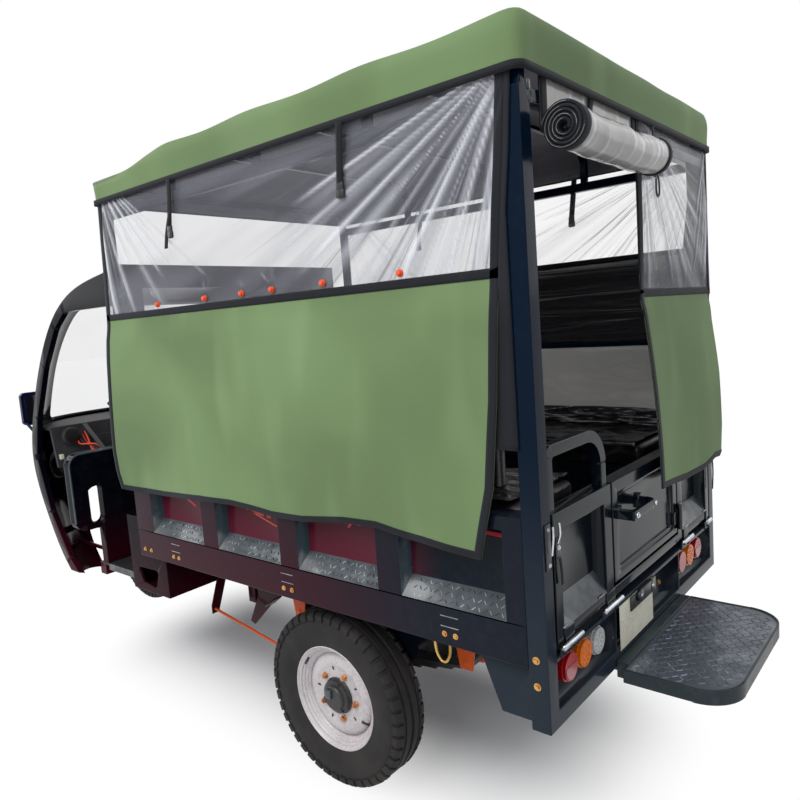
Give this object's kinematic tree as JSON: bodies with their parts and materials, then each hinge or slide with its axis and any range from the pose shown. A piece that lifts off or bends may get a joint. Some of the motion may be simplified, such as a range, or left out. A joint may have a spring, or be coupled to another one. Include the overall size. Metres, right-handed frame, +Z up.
{
  "type": "auto rickshaw",
  "caption": "Electric three-wheeled auto rickshaw: open-sided cab, passenger bed with folding tailgate and step, and a green canvas canopy with clear curtains.",
  "frame": {"origin": "on the floor under the middle of the whole vehicle's box", "axes": "+X to the vehicle's left, +Y to its rear, +Z up"},
  "size_m": [1.29, 3.3443, 2.03],
  "materials": {
    "tyre": "matt rubber",
    "rim_white": "satin off-white",
    "frame_paint": "satin dark maroon",
    "spring_steel": "zinc yellow",
    "axle_black": "satin black",
    "rod_orange": "gloss orange",
    "body_paint": "gloss dark slate",
    "lens_red": "clear gloss",
    "lens_amber": "clear gloss",
    "lens_clear": "clear gloss",
    "plate_white": "gloss off-white",
    "tread_plate": "satin slate",
    "canvas_green": "woven coated canvas",
    "clear_film": "creased clear film",
    "seat_vinyl": "glossy black vinyl",
    "seat_grey": "matt grey vinyl",
    "cab_paint": "gloss dark maroon",
    "window_glass": "clear",
    "black_plastic": "grained black",
    "fork_steel": "satin black",
    "mirror_navy": "gloss navy"
  },
  "bodies": {
    "root": {"chassis_frame": "frame_paint", "leaf_springs": "spring_steel", "rear_axle": "axle_black", "drive_motor": "axle_black", "brake_rods": "rod_orange", "bed_floor": "body_paint", "side_beams": "body_paint", "drop_sides": "body_paint", "front_board": "body_paint", "rear_frame": "body_paint", "lamps_red": "lens_red", "lamps_amber": "lens_amber", "lamp_clear": "lens_clear", "number_plate": "plate_white", "step_plate": "tread_plate", "canopy_frame": "body_paint", "canopy_roof": "canvas_green", "curtain_windows": "clear_film", "side_curtains": "canvas_green", "rear_curtain": "canvas_green", "rear_curtain_roll": "clear_film", "benches": "body_paint", "bench_cushions": "seat_vinyl", "bench_backs": "seat_grey", "cab_frame": "cab_paint", "windscreen": "window_glass", "front_fairing": "cab_paint", "dash_panel": "black_plastic", "headlamps": "lens_clear", "seat_box": "cab_paint", "battery_pack": "black_plastic", "cab_floor": "tread_plate", "leg_shield": "cab_paint", "driver_seat": "seat_vinyl", "driver_backrest": "seat_vinyl", "mirrors": "mirror_navy"},
    "rear_wheel_left": {"rear_tyre_left": "tyre", "rear_rim_left": "rim_white"},
    "rear_wheel_right": {"rear_tyre_right": "tyre", "rear_rim_right": "rim_white"},
    "steering": {"fork": "fork_steel", "handlebar": "black_plastic", "front_mudguard": "cab_paint"},
    "front_wheel": {"front_tyre": "tyre", "front_rim": "rim_white"},
    "tailgate": {"tailgate": "body_paint"},
    "tailgate_door": {"tailgate_door": "body_paint"}
  },
  "joints": [
    {"name": "rear_wheel_left_spin", "type": "hinge", "parent": "root", "child": "rear_wheel_left", "pos_m": [0.5265, 0.6, 0.2725], "axis": [1, 0, 0], "continuous": true},
    {"name": "rear_wheel_right_spin", "type": "hinge", "parent": "root", "child": "rear_wheel_right", "pos_m": [-0.5265, 0.6, 0.2725], "axis": [1, 0, 0], "continuous": true},
    {"name": "steering_turn", "type": "hinge", "parent": "root", "child": "steering", "pos_m": [0, -1.33164, 0.24627], "axis": [0, 0.3746, 0.9272], "range_deg": [-35, 35]},
    {"name": "front_wheel_spin", "type": "hinge", "parent": "steering", "child": "front_wheel", "pos_m": [0, -1.378, 0.265], "axis": [1, 0, 0], "continuous": true},
    {"name": "tailgate_fold", "type": "hinge", "parent": "root", "child": "tailgate", "pos_m": [0, 1.381, 0.63], "axis": [-1, 0, 0], "range_deg": [0, 90], "deforming": ["rear_curtain"]},
    {"name": "tailgate_door_swing", "type": "hinge", "parent": "tailgate", "child": "tailgate_door", "pos_m": [-0.249, 1.381, 0.8], "axis": [0, 0, -1], "range_deg": [-100, 0], "deforming": ["rear_curtain"]}
  ]
}
